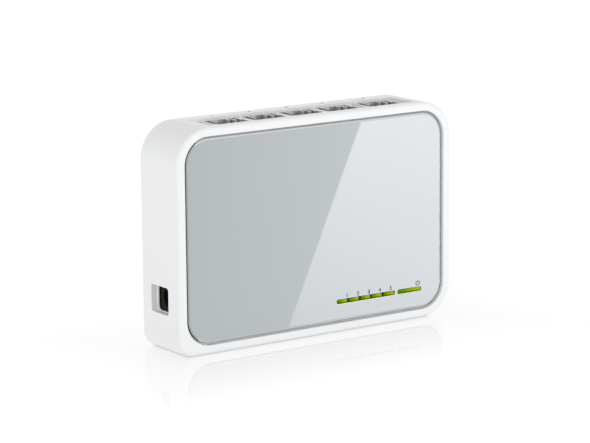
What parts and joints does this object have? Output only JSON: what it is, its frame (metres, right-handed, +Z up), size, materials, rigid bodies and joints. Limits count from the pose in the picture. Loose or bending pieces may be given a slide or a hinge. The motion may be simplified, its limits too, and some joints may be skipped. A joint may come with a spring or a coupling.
{
  "type": "desktop network switch",
  "caption": "Small desktop network switch: rounded plastic case with a grey face panel, a row of modular sockets along the top, status lights and a side power socket.",
  "frame": {"origin": "centre of the box's bottom, on the surface that the case stands on", "axes": "+Z up, from the long edge it stands on to the sockets; +X along the long side; the face panel looks towards -Y and the rubber feet towards +Y. Turned 90 degrees about X it lies on its feet."},
  "size_m": [0.1036, 0.022, 0.07],
  "materials": {
    "white_case": "satin moulded",
    "face_panel": "polished",
    "light_guide": "clear green, lit",
    "diode": "clear",
    "jack_plastic": "moulded",
    "black_plastic": "moulded",
    "chip_package": "moulded epoxy",
    "circuit_board": "glass epoxy with solder mask",
    "contact_metal": "gold flashed",
    "steel": "plated",
    "rubber": "matte",
    "label": "blank printed film"
  },
  "bodies": {
    "switch_body": {"front_housing": "white_case", "back_cover": "white_case", "face_panel": "face_panel", "rating_label": "label", "circuit_board": "circuit_board", "four_port_jack": "jack_plastic", "fifth_port_jack": "jack_plastic", "power_socket": "black_plastic", "power_pin": "contact_metal", "light_guide_holder": "black_plastic", "switch_chip": "chip_package", "port_transformer_1_2": "chip_package", "port_transformer_3_4": "chip_package", "port_transformer_5": "chip_package", "clock_crystal": "steel", "capacitor_1": "steel", "capacitor_2": "steel", "power_inductor": "chip_package", "power_regulator": "chip_package", "case_screw_1": "steel", "case_screw_2": "steel", "power_light_guide": "light_guide", "power_light_diode": "diode", "rubber_foot_1": "rubber", "rubber_foot_2": "rubber", "rubber_foot_3": "rubber", "rubber_foot_4": "rubber", "link_light_guide_1": "light_guide", "link_light_diode_1": "diode", "link_light_guide_2": "light_guide", "link_light_diode_2": "diode", "link_light_guide_3": "light_guide", "link_light_diode_3": "diode", "link_light_guide_4": "light_guide", "link_light_diode_4": "diode", "link_light_guide_5": "light_guide", "link_light_diode_5": "diode"},
    "port_1_spring": {"port_1_contacts": "contact_metal"},
    "port_2_spring": {"port_2_contacts": "contact_metal"},
    "port_3_spring": {"port_3_contacts": "contact_metal"},
    "port_4_spring": {"port_4_contacts": "contact_metal"},
    "port_5_spring": {"port_5_contacts": "contact_metal"},
    "power_leaf": {"power_spring": "contact_metal"}
  },
  "joints": [
    {"name": "port_1_contacts_flex", "type": "hinge", "parent": "switch_body", "child": "port_1_spring", "pos_m": [-0.0263, -0.00635, 0.0673], "axis": [-1, 0, 0], "range_deg": [0, 8], "stiffness_Nm_per_rad": 0.02},
    {"name": "port_2_contacts_flex", "type": "hinge", "parent": "switch_body", "child": "port_2_spring", "pos_m": [-0.01233, -0.00635, 0.0673], "axis": [-1, 0, 0], "range_deg": [0, 8], "stiffness_Nm_per_rad": 0.02},
    {"name": "port_3_contacts_flex", "type": "hinge", "parent": "switch_body", "child": "port_3_spring", "pos_m": [0.00164, -0.00635, 0.0673], "axis": [-1, 0, 0], "range_deg": [0, 8], "stiffness_Nm_per_rad": 0.02},
    {"name": "port_4_contacts_flex", "type": "hinge", "parent": "switch_body", "child": "port_4_spring", "pos_m": [0.01561, -0.00635, 0.0673], "axis": [-1, 0, 0], "range_deg": [0, 8], "stiffness_Nm_per_rad": 0.02},
    {"name": "port_5_contacts_flex", "type": "hinge", "parent": "switch_body", "child": "port_5_spring", "pos_m": [0.0316, -0.00635, 0.0673], "axis": [-1, 0, 0], "range_deg": [0, 8], "stiffness_Nm_per_rad": 0.02},
    {"name": "power_spring_flex", "type": "hinge", "parent": "switch_body", "child": "power_leaf", "pos_m": [-0.0383, 0.0002, 0.01275], "axis": [0, -1, 0], "range_deg": [0, 5], "stiffness_Nm_per_rad": 0.02}
  ]
}
